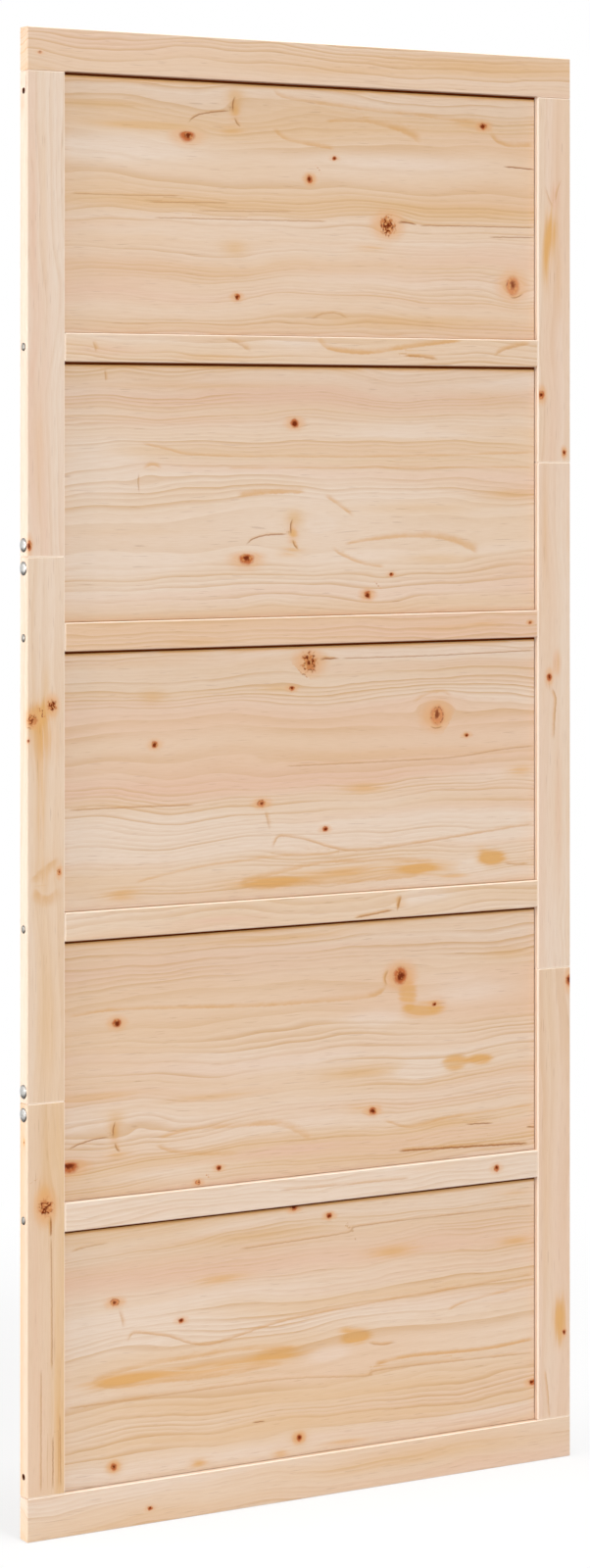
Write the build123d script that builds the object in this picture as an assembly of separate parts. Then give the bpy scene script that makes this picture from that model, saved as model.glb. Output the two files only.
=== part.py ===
from build123d import *
import os

# Barn door leaf in pine: five recessed panels in a frame of rails and jointed stiles.
# Millimetres, +X to the right seen from the front, +Y into the thickness, +Z up.
# The origin is the centre of the top rail's front face.

# Door leaf
door_width = 900
door_thickness = 23
panel_count = 5
opening_height = 360

# Frame
stile_width = 58
end_rail_height = 60
cross_rail_height = 40
edge_radius = 1.6
long_segment_share = 0.341
middle_segment_share = 0.383

# Panels: a flat field with a thin tongue all round that sits in the frame's groove
field_thickness = 7
tongue_thickness = 4
groove_depth = 10
groove_clearance = 0.3
tongue_play = 1.5
field_side_gap = 1
field_top_gap = 3.2
field_bottom_gap = 0.5
field_edge_radius = 0.8

# Fittings in the long edges
bolt_head_diameter = 19.5
bolt_rim_height = 0.8
bolt_dome_height = 1.4
bolt_shank_diameter = 6
bolt_shank_length = 34
bolt_from_seam = 16
screw_head_diameter = 11.5
screw_rim_height = 0.5
screw_dome_height = 1.2
screw_shank_diameter = 4.5
screw_grip_in_rail = 40
peg_hole_diameter = 9
peg_hole_depth = 15
peg_hole_from_stile_end = 28
hole_clearance = 0.3

# Layout
opening_width = door_width - 2 * stile_width
panel_pitch = opening_height + cross_rail_height
stile_length = panel_count * panel_pitch - cross_rail_height
door_top = end_rail_height / 2
stile_top = door_top - end_rail_height
stile_bottom = stile_top - stile_length
door_bottom = stile_bottom - end_rail_height
half_width = door_width / 2
half_opening = opening_width / 2
mid_depth = door_thickness / 2
groove_width = tongue_thickness + 2 * groove_clearance
long_segment = long_segment_share * stile_length
middle_segment = middle_segment_share * stile_length
short_segment = stile_length - long_segment - middle_segment


def slab(x_low, x_high, z_low, z_high, thickness):
    """A plain board between two heights and two sides, centred in the door's thickness."""
    centre = Pos((x_low + x_high) / 2, mid_depth, (z_low + z_high) / 2)
    return centre * Box(x_high - x_low, thickness, z_high - z_low)


def eased(x_low, x_high, z_low, z_high):
    """A frame board of the door's full thickness with rounded arrises."""
    board = slab(x_low, x_high, z_low, z_high, door_thickness)
    return fillet(board.edges(), edge_radius)


def at_edge(side, height):
    """Place on a long edge of the door, local +Z pointing out of the edge."""
    return Pos(side * half_width, mid_depth, height) * Rot(0, 90 * side, 0)


def rod(diameter, low, high):
    """A round bar along local Z between two heights."""
    return Pos(0, 0, (low + high) / 2) * Cylinder(diameter / 2, high - low)


def fastener(head_diameter, rim_height, dome_height, shank_diameter, shank_length):
    """A domed head seated at local Z = 0 with a plain shank below it."""
    head_radius = head_diameter / 2
    head_height = rim_height + dome_height
    dome_radius = (head_radius**2 + dome_height**2) / (2 * dome_height)
    dome_ball = Pos(0, 0, head_height - dome_radius) * Sphere(dome_radius)
    head = rod(head_diameter, 0, head_height) & dome_ball
    return head + rod(shank_diameter, -shank_length, 0)


def shank_hole(shank_diameter, shank_length):
    """The hole for a shank, open at the edge and clear of the shank all round."""
    return rod(shank_diameter + 2 * hole_clearance, -shank_length - hole_clearance, edge_radius)


# Joint bolts in the stiles, and the longer screws through each stile into a cross rail's end
screw_length = stile_width + screw_grip_in_rail
bolt = fastener(bolt_head_diameter, bolt_rim_height, bolt_dome_height, bolt_shank_diameter, bolt_shank_length)
bolt_hole = shank_hole(bolt_shank_diameter, bolt_shank_length)
screw = fastener(screw_head_diameter, screw_rim_height, screw_dome_height, screw_shank_diameter, screw_length)
screw_hole = shank_hole(screw_shank_diameter, screw_length)

# Blind peg hole
peg_hole = rod(peg_hole_diameter, -peg_hole_depth, edge_radius)

# Heights of rails, counted from the top
panel_tops = [stile_top - i * panel_pitch for i in range(panel_count)]
rail_tops = [top - opening_height for top in panel_tops[:-1]]
rail_middles = [top - cross_rail_height / 2 for top in rail_tops]

os.makedirs("parts", exist_ok=True)

# Top and bottom rails, full width, grooved towards the panels
groove_reach = half_opening + groove_depth
top_rail = eased(-half_width, half_width, stile_top, door_top)
top_rail -= slab(-groove_reach, groove_reach, stile_top, stile_top + groove_depth, groove_width)
export_step(top_rail, "parts/top_rail.step")

bottom_rail = eased(-half_width, half_width, door_bottom, stile_bottom)
bottom_rail -= slab(-groove_reach, groove_reach, stile_bottom - groove_depth, stile_bottom, groove_width)
export_step(bottom_rail, "parts/bottom_rail.step")

# Cross rails between the stiles, grooved above and below, with a screw from each edge
for number, (top, middle) in enumerate(zip(rail_tops, rail_middles), 1):
    bottom = top - cross_rail_height
    rail = eased(-half_opening, half_opening, bottom, top)
    rail -= slab(-half_opening, half_opening, top - groove_depth, top, groove_width)
    rail -= slab(-half_opening, half_opening, bottom, bottom + groove_depth, groove_width)
    for side in (-1, 1):
        rail -= at_edge(side, middle) * screw_hole
    export_step(rail, f"parts/cross_rail_{number}.step")

# Panels, each standing on the floor of the groove below it
for number, top in enumerate(panel_tops, 1):
    bottom = top - opening_height
    field_half = half_opening - field_side_gap
    field = slab(-field_half, field_half, bottom + field_bottom_gap, top - field_top_gap, field_thickness)
    field = fillet(field.edges(), field_edge_radius)
    tongue_half = groove_reach - tongue_play
    tongue_top = top + groove_depth - tongue_play
    tongue = slab(-tongue_half, tongue_half, bottom - groove_depth, tongue_top, tongue_thickness)
    export_step(field + tongue, f"parts/panel_{number}.step")

# Stiles in three butted segments each, the right one laid out upside down to the left one
segment_names = ("upper", "middle", "lower")
left_segments = (long_segment, middle_segment, short_segment)
right_segments = tuple(reversed(left_segments))
peg_heights = (stile_top - peg_hole_from_stile_end, stile_bottom + peg_hole_from_stile_end)

for side_name, side, segments in (("left", -1, left_segments), ("right", 1, right_segments)):
    seams = (stile_top - segments[0], stile_bottom + segments[2])
    bolt_heights = [seam + shift for seam in seams for shift in (bolt_from_seam, -bolt_from_seam)]

    holes = [at_edge(side, height) * bolt_hole for height in bolt_heights]
    holes += [at_edge(side, height) * screw_hole for height in rail_middles]
    holes += [at_edge(side, height) * peg_hole for height in peg_heights]

    outer, inner = side * half_width, side * half_opening
    groove_floor = inner + side * groove_depth
    top = stile_top
    for segment_name, length in zip(segment_names, segments):
        bottom = top - length
        stile = eased(min(outer, inner), max(outer, inner), bottom, top)
        stile -= slab(min(inner, groove_floor), max(inner, groove_floor), bottom, top, groove_width)
        stile -= holes
        export_step(stile, f"parts/{side_name}_stile_{segment_name}.step")
        top = bottom

    for number, height in enumerate(bolt_heights, 1):
        export_step(at_edge(side, height) * bolt, f"parts/{side_name}_bolt_{number}.step")

    for number, height in enumerate(rail_middles, 1):
        export_step(at_edge(side, height) * screw, f"parts/{side_name}_rail_screw_{number}.step")
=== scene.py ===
import math
from typing import NamedTuple

import bmesh
import bpy
import numpy as np
from bpy.props import FloatProperty, FloatVectorProperty, PointerProperty
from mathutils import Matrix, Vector


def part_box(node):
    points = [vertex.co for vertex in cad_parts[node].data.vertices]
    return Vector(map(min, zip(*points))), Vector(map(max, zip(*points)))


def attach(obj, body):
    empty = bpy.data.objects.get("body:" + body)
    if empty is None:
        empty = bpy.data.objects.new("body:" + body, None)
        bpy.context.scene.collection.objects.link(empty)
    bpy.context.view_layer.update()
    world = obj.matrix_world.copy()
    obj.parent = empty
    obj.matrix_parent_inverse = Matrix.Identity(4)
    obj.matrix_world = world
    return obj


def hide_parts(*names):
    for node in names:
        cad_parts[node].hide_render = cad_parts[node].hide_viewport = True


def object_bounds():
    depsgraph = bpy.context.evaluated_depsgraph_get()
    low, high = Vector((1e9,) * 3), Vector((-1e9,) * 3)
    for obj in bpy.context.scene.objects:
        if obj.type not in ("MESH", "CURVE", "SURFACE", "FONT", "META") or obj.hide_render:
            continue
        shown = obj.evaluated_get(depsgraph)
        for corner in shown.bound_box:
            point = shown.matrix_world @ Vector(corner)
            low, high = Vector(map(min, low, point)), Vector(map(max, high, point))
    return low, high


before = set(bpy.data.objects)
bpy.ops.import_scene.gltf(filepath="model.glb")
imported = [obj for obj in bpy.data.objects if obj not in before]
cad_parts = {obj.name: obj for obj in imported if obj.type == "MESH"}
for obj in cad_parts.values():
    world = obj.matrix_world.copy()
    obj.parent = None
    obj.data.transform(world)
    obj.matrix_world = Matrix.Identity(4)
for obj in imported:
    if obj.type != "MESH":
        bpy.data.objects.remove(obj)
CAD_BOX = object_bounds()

bl_info = {
    "name": "Pine barn door",
    "version": (1, 0, 0),
    "blender": (4, 5, 0),
    "location": "View3D > Sidebar > Barn door",
    "description": "Dresses a barn door leaf in figured pine with steel fittings, on a pale stage",
    "category": "Object",
}

MM = 0.001

# Directions of the door: X to the right, Y into the thickness, Z up
X, Y, Z = 0, 1, 2

# View of the picture, in pixels of its frame and in metres and degrees of the door
PICTURE_WIDTH = 602
PICTURE_HEIGHT = 1600
FOCAL_PIXELS = 3923
HORIZON_ROW = 449.1
EYE = Vector((-2.795, -4.733, -0.538))
VIEW_TURN = math.radians(30.34)
SENSOR_HEIGHT = 36.0

# Facets in a quarter of a rounded arris, from the rim of a head to its top, and in a full turn of a fitting
ARRIS_STEPS = 5
DOME_STEPS = 13
TURN_STEPS = 48

# Bevel on the sharp edges of a fitting, as a share of its head's rim
BEVEL_SHARE = 0.12

# Points closer than this are merged, and a face lies in a plane of the door if its normal reaches this part
MERGE_DISTANCE = 0.002 * MM
FLAT_NORMAL = 0.99995

# How much further along the grain than across it a knot bends the rings
GRAIN_REACH = 2.0

# Straight pieces in each stretch of a line's route, how far beside it a line can show, and its fading end
ROUTE_STEPS = 5
LINE_REACH = 20 * MM
LINE_END = 14 * MM

# Width of the strip of a stile's face that counts as its left edge
LEFT_EDGE = 1.6 * MM

# Depth below a board's surface from which its grooves and holes take painted shade
SHADE_LIP = 0.6 * MM

# Half sizes of the square rings of grid lines round a drilled hole, the room that they take up in the
# grid, and the slack in telling on which ring a point lies
HOLE_RINGS = np.array((0.0, 1.5, 3.0, 3.8, 4.5)) * MM
HOLE_CLEAR = 6.5 * MM
HOLE_SLACK = 1e-6

# Share of painted shade on the lower arris of a rail over a gap
ARRIS_SHADE = 0.6

# Grid lines of the floor each way, and its drop below the door
FLOOR_LINES = 13
FLOOR_DROP = 0.5 * MM

# Place and size of each soft light, in metres of the door
LIGHTS = {
    "front": ((1.0, -12.0, 8.8), (4.2, 4.2)),
    "side": ((-8.0, -0.6, -0.6), (2.0, 4.0)),
    "edge": ((-6.6, 4.4, -0.6), (1.5, 3.0)),
    "top": ((0.0, -0.4, 8.0), (3.0, 2.0)),
}


def srgb(red, green, blue):
    """Linear colour of a screen colour given in 0 to 255."""
    channels = np.array((red, green, blue)) / 255
    bright = ((channels + 0.055) / 1.055) ** 2.4
    return tuple(float(c) for c in np.where(channels > 0.04045, bright, channels / 12.92))


def colour(name, description, red, green, blue):
    """A colour setting with a screen colour as its default."""
    return FloatVectorProperty(name=name, description=description, default=srgb(red, green, blue),
                               subtype="COLOR", size=3, min=0, max=1)


def length(name, description, millimetres):
    """A length setting with a default in millimetres."""
    return FloatProperty(name=name, description=description, default=millimetres * MM,
                         unit="LENGTH", precision=4, min=0)


def fraction(name, description, default):
    """A setting between 0 and 1."""
    return FloatProperty(name=name, description=description, default=default, min=0, max=1)


def power(name, description, watts):
    """The power setting of a light."""
    return FloatProperty(name=name, description=description, default=watts, unit="POWER", min=0)


class BoardSettings(bpy.types.PropertyGroup):
    """Sizes of the boards that the frame's boxes do not give."""

    grid: length("Grid", "Spacing of the surface points on the frame boards", 4)
    panel_grid: length("Panel grid", "Spacing of the surface points on the panels", 3.2)
    arris: length("Arris", "Radius on the edges of the frame boards", 1.6)
    groove_width: length("Groove width", "Width of the groove that holds the panels", 4.6)
    groove_depth: length("Groove depth", "Depth of the groove that holds the panels", 10)
    tongue_thickness: length("Tongue thickness", "Thickness of the tongue round a panel", 4)
    field_edge: length("Field edge", "Radius on the edges of a panel's field", 0.8)
    side_gap: length("Side gap", "Gap between a panel's field and the stiles", 1)
    top_gap: length("Top gap", "Gap between a panel's field and the rail above", 3.2)
    bottom_gap: length("Bottom gap", "Gap between a panel's field and the rail below", 0.5)
    peg_radius: length("Peg hole radius", "Radius of the blind holes near the stiles' ends", 4.5)
    peg_depth: length("Peg hole depth", "Depth of the blind holes near the stiles' ends", 15)
    peg_from_end: length("Peg hole place", "Distance of a blind hole from the stile's end", 28)


class FittingSettings(bpy.types.PropertyGroup):
    """Sizes and finish of the bolts and screws."""

    bolt_rim: length("Bolt rim", "Height of the straight rim of a bolt head", 0.3)
    bolt_shank: length("Bolt shank", "Radius of a bolt's shank", 3)
    screw_rim: length("Screw rim", "Height of the straight rim of a screw head", 0.2)
    screw_shank: length("Screw shank", "Radius of a screw's shank", 2.25)
    screw_hole_depth: length("Screw hole depth", "Depth of the hole behind a screw head", 45)
    hole_clearance: length("Hole clearance", "Room round a shank in its hole", 0.3)
    bolt_roughness: fraction("Bolt roughness", "Roughness of the bolts' plating", 0.26)
    screw_roughness: fraction("Screw roughness", "Roughness of the screws' steel", 0.34)
    bolt_colour: colour("Bolt", "Plated steel of the bolts", 184, 182, 178)
    screw_colour: colour("Screw", "Dull steel of the screws", 146, 142, 135)
    tarnish_colour: colour("Tarnish", "Dark film in the metal's scratches", 128, 124, 118)
    # Painted shade round the rim and lower half of a head
    head_shade_colour: colour("Grime", "Grime under the rim of a head", 52, 44, 38)


class PineSettings(bpy.types.PropertyGroup):
    """Colours and scale of the pine."""

    ring_width: length("Ring width", "Usual width of a growth ring", 5.5)
    pale: colour("Pale wood", "Palest sapwood", 232, 212, 194)
    amber: colour("Amber wood", "Warmest heartwood", 223, 186, 143)
    rose: colour("Rose wood", "Pinkish bands between the rings", 228, 193, 169)
    # Painted highlight on the eased edges
    worn: colour("Worn arris", "Paler wood along the eased edges", 255, 238, 220)
    late: colour("Late wood", "Dark line that closes a growth ring", 206, 161, 110)
    resin: colour("Resin", "Orange stain of resin", 223, 172, 110)
    halo: colour("Knot halo", "Reddened wood round a knot", 224, 168, 116)
    knot_pink: colour("Live knot", "Pink wood of a large live knot", 210, 138, 90)
    knot_red: colour("Knot", "Red-brown wood of a small knot", 192, 108, 62)
    knot_core: colour("Knot core", "Dark heart and bark line of a knot", 118, 46, 16)
    warm_line: colour("Warm line", "Broad line of resin or late wood", 214, 162, 102)
    check: colour("Check", "Dark line of a check or resin canal", 148, 84, 42)
    # Painted shade for the gaps, grooves and holes, and for the lower arrises of the rails
    dust: colour("Dust", "Dust lodged in the panel grooves", 106, 40, 0)


class StageSettings(bpy.types.PropertyGroup):
    """Floor and lights."""

    floor_colour: colour("Floor", "Pale floor", 236, 236, 236)
    floor_shade: colour("Floor shade", "Duller patches of the floor", 228, 228, 229)
    floor_size: length("Floor size", "Side of the square floor", 60000)
    front_power: power("Front light", "Power of the broad light in front", 1085)
    side_power: power("Side light", "Power of the tall light at the left", 430)
    edge_power: power("Edge light", "Power of the tall light behind the left edge", 140)
    top_power: power("Top light", "Power of the light overhead", 560)
    ambient: fraction("Ambient", "Strength of the light from all round", 0.22)


def sight_line(column, row):
    """Direction from the eye through a pixel: ahead, plus its offsets in focal lengths to the side and up."""
    ahead = Vector((math.sin(VIEW_TURN), math.cos(VIEW_TURN), 0))
    side = Vector((math.cos(VIEW_TURN), -math.sin(VIEW_TURN), 0))
    across = (column - PICTURE_WIDTH / 2) / FOCAL_PIXELS
    up = (HORIZON_ROW - row) / FOCAL_PIXELS
    return ahead + side * across + Vector((0, 0, up))


def on_front(column, row, depth):
    """Point where the sight line through a pixel meets the upright plane at a depth."""
    line = sight_line(column, row)
    return EYE + line * ((depth - EYE.y) / line.y)


class Knot(NamedTuple):
    """A knot by its pixel in the picture, its half height in millimetres and its look.

    dark runs from a live knot at 0.3 to a dead one at 1 and a cracked one at 1.5; flat is how much
    its upper half is squashed.
    """

    column: float
    row: float
    radius: float
    dark: float = 1.0
    halo: float = 0.6
    stretch: float = 1.3
    flat: float = 1.0


def hump(column, row, radius, stretch=2.0):
    """A knot hidden under the face, which shows only in the way the grain swells round it."""
    return Knot(column, row, radius, -1.0, 0.0, stretch)


class Stain(NamedTuple):
    """A patch by its pixel, its half length and half height in millimetres, its colours and its firmness."""

    column: float
    row: float
    half_length: float
    half_height: float
    amber: float = 0.0
    rose: float = 0.0
    resin: float = 0.0
    firm: float = 1.0


def under_rail(row):
    """Painted shade in brown along the top of a panel, by the row where the door's middle line crosses it."""
    return Stain(column=313, row=row, half_length=1200, half_height=4, resin=1.1)


class Streak(NamedTuple):
    """A thin line through pixels of the picture, with its half width in millimetres.

    dark is its share of a check's brown and warm its share of resin; it widens to its end by the taper.
    """

    route: tuple
    width: float
    dark: float = 0.0
    warm: float = 0.0
    taper: float = 0.0


class Figure(NamedTuple):
    """How a board was cut from its log, and the marks that show on it.

    heart is the log's centre from the board's centre, across and behind it, in millimetres;
    log is the place along the log in metres, so that no two boards repeat; amber and rose are the
    board's own tone, and lines is the strength of its growth rings.
    """

    heart: tuple
    log: float
    amber: float
    rose: float = 0.0
    lines: float = 1.0
    marks: tuple = ()


FIGURES = {
    "top_rail": Figure((90, 35), 1.3, 0.4, 0.2, marks=(
        Stain(470, 66, 170, 12, amber=0.5), Stain(110, 45, 120, 12, rose=0.35),
        Stain(330, 72, 110, 6, amber=0.5), Knot(41, 53, 2.2, 0.1, 0.3))),
    "bottom_rail": Figure((-110, 60), 4.9, 0.13, marks=(
        Knot(153, 1539, 2.8, 0.5, 0.4), Stain(440, 1484, 180, 14, amber=0.4),
        Stain(110, 1528, 90, 12, amber=-0.3))),
    "cross_rail_1": Figure((55, 30), 7.4, 0.3, marks=(
        Streak(((94, 347), (97, 353), (98, 360)), 2.0, 0.1, 0.4),
        Streak(((227, 345), (243, 350), (257, 359)), 2.4, 0.1, 0.5, 0.4),
        Streak(((322, 344), (334, 355), (352, 359), (378, 360), (427, 353), (474, 347)), 2.6, 0.0, 0.6),
        Streak(((410, 363), (430, 364), (448, 367)), 2.0, 0.25, 0.8),
        Streak(((503, 364), (516, 356), (543, 350)), 2.4, 0.1, 0.5), Stain(110, 357, 60, 6, rose=0.6),
        Stain(215, 364, 60, 4, resin=0.5), Stain(300, 350, 60, 8, amber=-0.4))),
    "cross_rail_2": Figure((-70, 45), 10.2, 0.6, 0.4, 0.8, marks=(
        Knot(541, 635, 2.2, 0.4, 0.9), Stain(495, 636, 40, 6, resin=0.45), Stain(455, 641, 60, 5, resin=0.3),
        Stain(200, 655, 40, 5, amber=0.6))),
    "cross_rail_3": Figure((45, 25), 13.1, 0.25, marks=(
        Streak(((360, 937), (385, 932), (403, 928)), 1.6, 0.45, 0.6),
        Streak(((404, 931), (407, 922), (409, 912)), 2.6, 0.35, 0.8), Stain(407, 921, 10, 8, resin=0.5),
        Stain(434, 914, 40, 9, amber=-0.6), Stain(230, 938, 70, 4, rose=0.7), hump(415, 921, 12, 2.2))),
    "cross_rail_4": Figure((-60, 40), 16.6, -1.3, -0.45, 0.6, marks=(
        Knot(506.5, 1192, 4.4, 0.6, 0.5, 1.0), Stain(446, 1191, 50, 5, amber=0.6, resin=0.2),
        Stain(120, 1232, 90, 8, rose=0.5), Streak(((285, 1215), (350, 1209), (420, 1202)), 1.6, 0.1, 0.3))),
    "left_stile_upper": Figure((70, 55), 20.3, -0.1, lines=0.4, marks=(
        Knot(29.8, 557, 3.6, 1.0, 0.6, 1.7), Stain(33, 300, 330, 6, rose=0.35, amber=0.2),
        Stain(45, 200, 260, 5, amber=0.35), Stain(57, 330, 420, 7, amber=-0.4, rose=-0.3),
        Stain(40, 470, 90, 6, amber=0.35, resin=0.15), Streak(((26.4, 72), (26.4, 85), (26.4, 97)), 0.7, 0.8),
        # The last stain is painted light: a paler strip on the left edge face, where the side light falls
        Stain(23, 105, 16, 6, rose=0.9), Stain(24, 300, 500, 10, amber=-0.9, rose=-0.5))),
    "left_stile_middle": Figure((25, 30), 24.0, 0.2, lines=0.45, marks=(
        Knot(53, 720, 6.0, 1.5, 0.8, 1.0), Knot(33, 735, 6.5, 1.5, 0.8, 1.0),
        Knot(28.8, 756, 2.0, 0.9, 0.5, 1.0), Stain(49, 722, 18, 13, resin=0.8),
        Stain(36, 732, 18, 13, resin=0.8), Stain(44, 752, 30, 20, resin=0.6, rose=0.3),
        Stain(41, 805, 75, 7, resin=0.5), Stain(47, 698, 30, 5, amber=0.5),
        Streak(((30, 902), (44, 888), (62, 874)), 4.5, 0.0, 0.4),
        Streak(((32, 906), (47, 917), (63, 905)), 5.0, 0.0, 0.45), Knot(60.5, 890, 3.0, 0.3, 0.7),
        Stain(48, 893, 26, 16, resin=0.3), Stain(48, 1050, 110, 20, amber=0.3),
        # This stain is painted light: a paler strip on the left edge face, where the side light falls
        Stain(24, 850, 500, 10, amber=-0.5))),
    "left_stile_lower": Figure((-20, 40), 28.5, 0.75, lines=0.6, marks=(
        Knot(46.5, 1232, 9.5, 1.5, 0.9, 1.0), Stain(46, 1226, 28, 13, resin=0.9),
        Streak(((51.5, 1239), (52, 1250), (52, 1266)), 1.8, 0.7, 0.8),
        Streak(((52, 1260), (53, 1330), (53, 1400)), 1.2, 0.4, 0.3),
        Streak(((42, 1395), (42, 1460), (42, 1525)), 1.3, 0.3, 0.3),
        Streak(((54, 1463), (54, 1490), (54, 1522)), 1.3, 0.5, 0.3),
        Streak(((61, 1440), (61.5, 1480), (62, 1520)), 1.5, 0.3, 0.4),
        Stain(59, 1430, 130, 6, amber=0.4, resin=0.3), Stain(36, 1330, 150, 6, rose=0.3),
        Stain(48, 1180, 60, 10, amber=0.2), Stain(24.5, 1166, 9, 4, resin=0.8),
        # The last stain is painted light: a paler strip on the left edge face, where the side light falls
        Knot(24.5, 1166, 1.5, 1.0, 0.8), Stain(24, 1350, 500, 10, amber=-0.55))),
    "right_stile_upper": Figure((30, 35), 32.2, 0.2, lines=0.45, marks=(
        Stain(566, 202, 16, 7, rose=1.1), Streak(((573, 182), (569, 194), (566, 208)), 1.5, 0.1, 0.3),
        Streak(((556, 188), (560, 202), (565, 214)), 1.5, 0.12, 0.25), Stain(563, 236, 32, 9, resin=1.0),
        Stain(557, 264, 50, 6, resin=0.9), Stain(570, 280, 60, 5, amber=0.7),
        Knot(552.5, 403, 5.0, 0.55, 0.8, 1.1), Knot(575.6, 462, 3.0, 1.0, 0.9),
        Stain(560, 130, 110, 9, rose=0.3), Stain(570, 390, 110, 6, amber=-0.4),
        # This stain is painted light: a paler strip on the inner edge face, where the side light falls
        Stain(547, 290, 600, 6, amber=-0.9))),
    "right_stile_middle": Figure((-40, 45), 36.8, -0.02, lines=0.4, marks=(
        Knot(560.5, 691, 4.2, 0.6, 0.7, 1.3), Stain(568, 677, 20, 7, rose=0.8, resin=0.35, firm=2),
        Streak(((562, 700), (567, 712), (566, 730), (565, 756)), 2.0, 0.2, 0.5),
        Stain(570, 830, 100, 5, rose=0.6, amber=0.25), Stain(556, 540, 80, 5, amber=0.5),
        # This stain is painted light: a paler strip on the inner edge face, where the side light falls
        Stain(547, 730, 700, 6, amber=-0.8))),
    "right_stile_lower": Figure((20, 30), 41.0, 0.25, lines=0.6, marks=(
        Knot(580.5, 1000, 5.0, 0.8, 0.7, 1.5), Stain(571, 1347, 40, 13, resin=0.85, firm=2),
        Knot(575.6, 1359, 2.8, 1.0, 0.5), Streak(((556, 1395), (559, 1420), (561, 1450)), 1.6, 0.1, 0.4),
        # The last stain is painted light: a paler strip on the inner edge face, where the side light falls
        Stain(557, 1250, 160, 6, amber=0.35), Stain(547, 1200, 600, 6, amber=-0.9))),
    "panel_1": Figure((70, 45), 45.7, 0.4, 0.1, marks=(
        under_rail(89.3), Knot(191, 137, 9.0, 0.5, 0.6, 1.2, 2.4),
        Streak(((191, 126), (200, 118), (216, 114.5), (236, 113)), 1.3, 0.6, 0.35),
        Streak(((240, 97), (237.5, 106), (238, 116)), 1.6, 0.65, 0.4),
        Streak(((239, 119), (242, 126), (246, 130)), 1.6, 0.45, 0.6), Stain(240, 97, 14, 12, amber=0.8),
        Stain(240, 112, 8, 14, rose=0.8, resin=0.8), Stain(236, 133, 22, 6, resin=0.6),
        Stain(150, 128, 70, 5, amber=0.8, resin=0.25), Stain(100, 105, 80, 5, amber=0.6),
        Knot(493, 129, 4.4, 0.9, 0.9), Stain(478, 127, 26, 8, resin=0.5), Knot(341, 161.5, 2.6, 0.9, 0.5),
        Knot(316, 183, 5.2, 0.8, 0.9, 0.8), Knot(395.5, 230, 11.5, 1.5, 0.8, 0.9),
        Streak(((404, 227), (414, 227), (428, 230)), 1.6, 0.8, 0.6, -0.5),
        Streak(((426, 230), (480, 231), (547, 232.5)), 1.0, 0.55, 0.3), Knot(523, 292, 13, 0.25, 0.7, 0.8),
        Streak(((519, 303), (526, 304), (535, 299)), 1.2, 0.5, 0.5), Knot(242, 303, 4.0, 0.9, 0.6, 1.1),
        Streak(((277, 90), (293, 100), (360, 110), (443, 120), (490, 127)), 2.0, 0.0, 0.4),
        Streak(((277, 130), (290, 141), (313, 147), (343, 152)), 2.2, 0.0, 0.45),
        Streak(((330, 124), (370, 124), (393, 128), (413, 135), (431, 146)), 2.8, 0.0, 0.55, 0.6),
        Streak(((498, 135), (508, 145), (522, 149), (546, 149)), 2.4, 0.0, 0.55),
        Streak(((512, 170), (530, 171.5), (548, 173.5)), 1.2, 0.85, 0.3),
        Streak(((497, 242), (520, 242.2), (548, 242.5)), 1.0, 0.65, 0.2),
        Streak(((70, 197), (125, 199), (185, 200)), 1.1, 0.25, 0.3),
        Streak(((150, 206), (190, 206.5), (236, 207)), 1.0, 0.3, 0.3),
        Streak(((200, 215), (250, 215.5), (300, 216)), 1.0, 0.3, 0.2),
        Streak(((155, 222), (240, 224), (335, 226)), 1.1, 0.35, 0.3),
        Streak(((316, 326), (330, 320), (345, 320), (356, 326)), 1.6, 0.15, 0.45),
        Stain(378, 254, 26, 5, resin=0.5), Stain(120, 150, 130, 20, amber=-0.6, rose=-0.2),
        Stain(420, 168, 170, 16, amber=-0.4), Stain(480, 214, 150, 12, amber=0.4),
        Stain(150, 206, 150, 10, amber=0.4), Stain(240, 254, 20, 12, amber=0.6),
        Stain(430, 328, 170, 9, amber=0.45), Stain(120, 275, 150, 25, rose=0.4), hump(243, 108, 22, 2.4),
        hump(334, 324, 14, 2.0))),
    "panel_2": Figure((-60, 56.5), 53.6, 0.3, marks=(
        under_rail(374.4), Knot(300.5, 432, 5.6, 0.9, 0.7, 1.1), hump(151, 490, 14, 1.0),
        Stain(155, 478, 12, 4, resin=0.35), Streak(((141.5, 482), (141, 492), (142, 504)), 1.1, 0.35, 0.4),
        Streak(((145, 479), (155, 474), (167, 478)), 2.0, 0.0, 0.45),
        Knot(251.5, 569, 9.0, 0.5, 0.7, 1.2, 2.0),
        Streak(((250, 557), (258, 550), (272, 546), (295, 545)), 1.3, 0.6, 0.35),
        Streak(((299, 528), (296.5, 537), (297, 547)), 1.6, 0.65, 0.4),
        Streak(((298, 550), (301, 557), (305, 561)), 1.6, 0.45, 0.6), Stain(300, 529, 14, 12, amber=0.8),
        Stain(299, 545, 8, 14, rose=0.8, resin=0.8), Stain(297, 563, 22, 6, resin=0.6),
        Knot(399, 586, 2.6, 0.9, 0.5), Knot(375, 607, 5.0, 0.9, 0.8, 1.1), Stain(300, 402, 420, 26, rose=0.5),
        Stain(200, 394, 180, 5, amber=0.6), Stain(500, 407, 80, 10, amber=0.6),
        Stain(180, 430, 170, 9, rose=0.5), Stain(420, 441, 170, 10, amber=-0.4),
        Stain(95, 478, 65, 30, amber=-0.7, rose=-0.3), Stain(100, 577, 120, 12, amber=-0.7, rose=-0.3),
        Stain(380, 502, 110, 8, amber=-0.6), Stain(300, 604, 300, 14, amber=-0.35),
        Stain(130, 543, 130, 5, amber=0.2), Stain(425, 518, 120, 8, amber=0.5),
        Stain(445, 570, 70, 6, amber=0.6), Stain(524, 504, 40, 6, amber=0.9, resin=0.2),
        Streak(((240, 507), (270, 503), (313, 502)), 3.0, 0.0, 0.55),
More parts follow.
